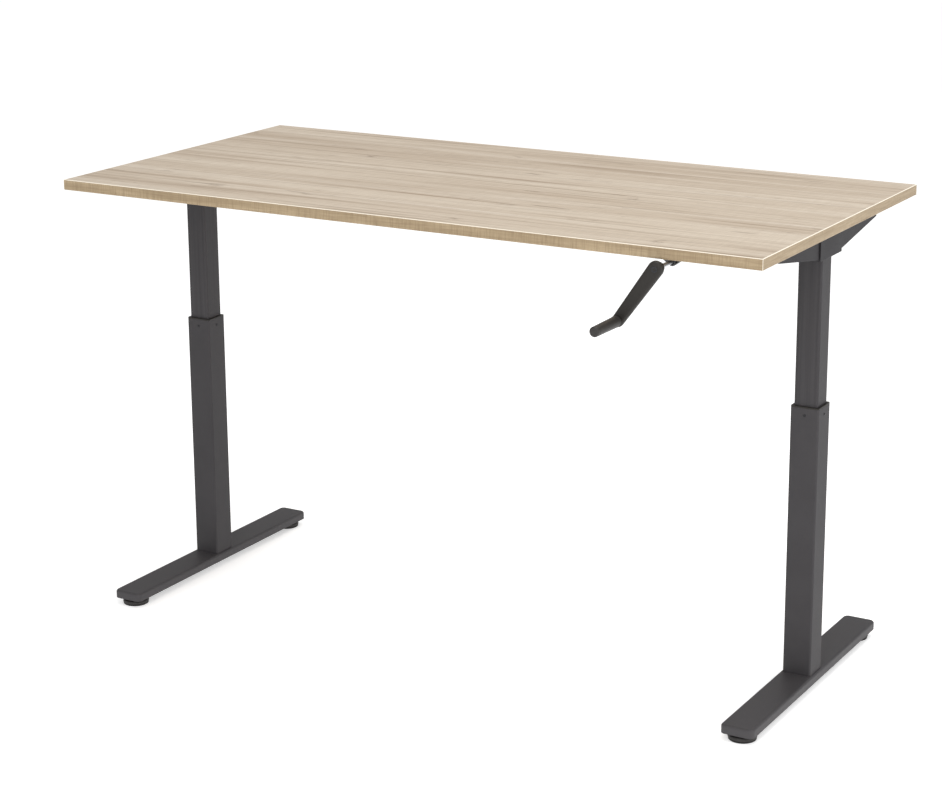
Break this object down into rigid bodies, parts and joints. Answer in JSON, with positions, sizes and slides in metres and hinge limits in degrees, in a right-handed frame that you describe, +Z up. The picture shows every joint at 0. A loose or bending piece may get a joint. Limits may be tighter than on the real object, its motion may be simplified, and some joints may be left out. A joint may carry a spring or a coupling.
{
  "type": "height adjustable desk",
  "caption": "Sit-stand desk with a pale oak-look top on telescopic T-shaped legs, raised and lowered by a hand crank under the front edge.",
  "frame": {"origin": "middle of the desk's outline on the floor, seen from above, with the crank counted in; the columns stand 55 mm behind it", "axes": "+Z up, X along the desk's width, -Y towards the user, so the crank is at +X and -Y"},
  "size_m": [1.6, 0.91, 0.977],
  "materials": {
    "frame_paint": "satin anthracite powder coat with a fine grain",
    "black_plastic": "matte moulded plastic, lightly grained",
    "gloss_black_plastic": "smooth glossy moulding",
    "zinc_steel": "bright zinc plating",
    "dark_screw": "blackened small screws",
    "gear_plastic": "natural engineering plastic",
    "oak_laminate": "pale greyish oak grain, satin laminate",
    "oak_edge": "oak print edge band, slightly yellower than the face",
    "glide_plastic": "dark grey moulded plastic",
    "rubber_sole": "dull black rubber"
  },
  "bodies": {
    "base": {"left_foot_bar": "frame_paint", "right_foot_bar": "frame_paint", "left_lower_tube": "frame_paint", "right_lower_tube": "frame_paint", "left_base_plate": "zinc_steel", "right_base_plate": "zinc_steel", "foot_screws": "zinc_steel", "left_guide_collar": "black_plastic", "right_guide_collar": "black_plastic", "collar_screws": "dark_screw", "left_nut_post": "zinc_steel", "right_nut_post": "zinc_steel", "left_spindle_nut": "gear_plastic", "right_spindle_nut": "gear_plastic"},
    "lift_frame": {"desktop_board": "oak_laminate", "front_edge_band": "oak_edge", "back_edge_band": "oak_edge", "left_edge_band": "oak_edge", "right_edge_band": "oak_edge", "left_upper_tube": "frame_paint", "right_upper_tube": "frame_paint", "left_guide_shoe": "black_plastic", "right_guide_shoe": "black_plastic", "left_saddle": "frame_paint", "right_saddle": "frame_paint", "left_support_arm": "frame_paint", "right_support_arm": "frame_paint", "left_gearbox_housing": "gear_plastic", "right_gearbox_housing": "gear_plastic", "left_spindle_bearing": "zinc_steel", "right_spindle_bearing": "zinc_steel", "front_cross_rail": "frame_paint", "back_cross_rail": "frame_paint", "rail_bolts": "zinc_steel", "crank_gearbox_housing": "black_plastic", "crank_bracket": "gloss_black_plastic", "desktop_screws": "zinc_steel"},
    "crank": {"crank_rod": "zinc_steel", "crank_arm": "black_plastic", "crank_hub_screw": "dark_screw", "crank_gear": "gear_plastic", "grip_pin": "zinc_steel"},
    "grip": {"grip_sleeve": "black_plastic", "grip_end_cap": "black_plastic"},
    "cross_shaft": {"cross_shaft": "zinc_steel", "middle_shaft_gear": "gear_plastic", "left_shaft_gear": "gear_plastic", "right_shaft_gear": "gear_plastic"},
    "left_spindle": {"left_spindle": "zinc_steel", "left_spindle_gear": "gear_plastic"},
    "right_spindle": {"right_spindle": "zinc_steel", "right_spindle_gear": "gear_plastic"},
    "front_left_glide": {"front_left_glide": "glide_plastic", "front_left_sole": "rubber_sole"},
    "back_left_glide": {"back_left_glide": "glide_plastic", "back_left_sole": "rubber_sole"},
    "front_right_glide": {"front_right_glide": "glide_plastic", "front_right_sole": "rubber_sole"},
    "back_right_glide": {"back_right_glide": "glide_plastic", "back_right_sole": "rubber_sole"}
  },
  "joints": [
    {"name": "height_lift", "type": "slide", "parent": "base", "child": "lift_frame", "axis": [0, 0, 1], "range_m": [-0.287, 0.113]},
    {"name": "crank_turn", "type": "hinge", "parent": "lift_frame", "child": "crank", "pos_m": [0.595, 0.055, 0.939], "axis": [0, 1, 0], "range_deg": [-17300, 6850]},
    {"name": "grip_spin", "type": "hinge", "parent": "crank", "child": "grip", "pos_m": [0.51893, -0.405, 0.83235], "axis": [0, 1, 0], "continuous": true},
    {"name": "cross_shaft_turn", "type": "hinge", "parent": "lift_frame", "child": "cross_shaft", "pos_m": [0, 0.055, 0.939], "axis": [1, 0, 0], "range_deg": [-6850, 17300]},
    {"name": "left_spindle_turn", "type": "hinge", "parent": "lift_frame", "child": "left_spindle", "pos_m": [-0.74, 0.055, 0.9], "axis": [0, 0, 1], "range_deg": [-17300, 6850]},
    {"name": "right_spindle_turn", "type": "hinge", "parent": "lift_frame", "child": "right_spindle", "pos_m": [0.74, 0.055, 0.9], "axis": [0, 0, 1], "range_deg": [-17300, 6850]},
    {"name": "front_left_glide_screw", "type": "slide", "parent": "base", "child": "front_left_glide", "axis": [0, 0, 1], "range_m": [-0.012, 0]},
    {"name": "back_left_glide_screw", "type": "slide", "parent": "base", "child": "back_left_glide", "axis": [0, 0, 1], "range_m": [-0.012, 0]},
    {"name": "front_right_glide_screw", "type": "slide", "parent": "base", "child": "front_right_glide", "axis": [0, 0, 1], "range_m": [-0.012, 0]},
    {"name": "back_right_glide_screw", "type": "slide", "parent": "base", "child": "back_right_glide", "axis": [0, 0, 1], "range_m": [-0.012, 0]}
  ],
  "couplings": [
    {"joint": "crank_turn", "follows": "height_lift", "rad_per_m": 1047.2},
    {"joint": "cross_shaft_turn", "follows": "height_lift", "rad_per_m": -1047.2},
    {"joint": "left_spindle_turn", "follows": "height_lift", "rad_per_m": 1047.2},
    {"joint": "right_spindle_turn", "follows": "height_lift", "rad_per_m": 1047.2}
  ]
}
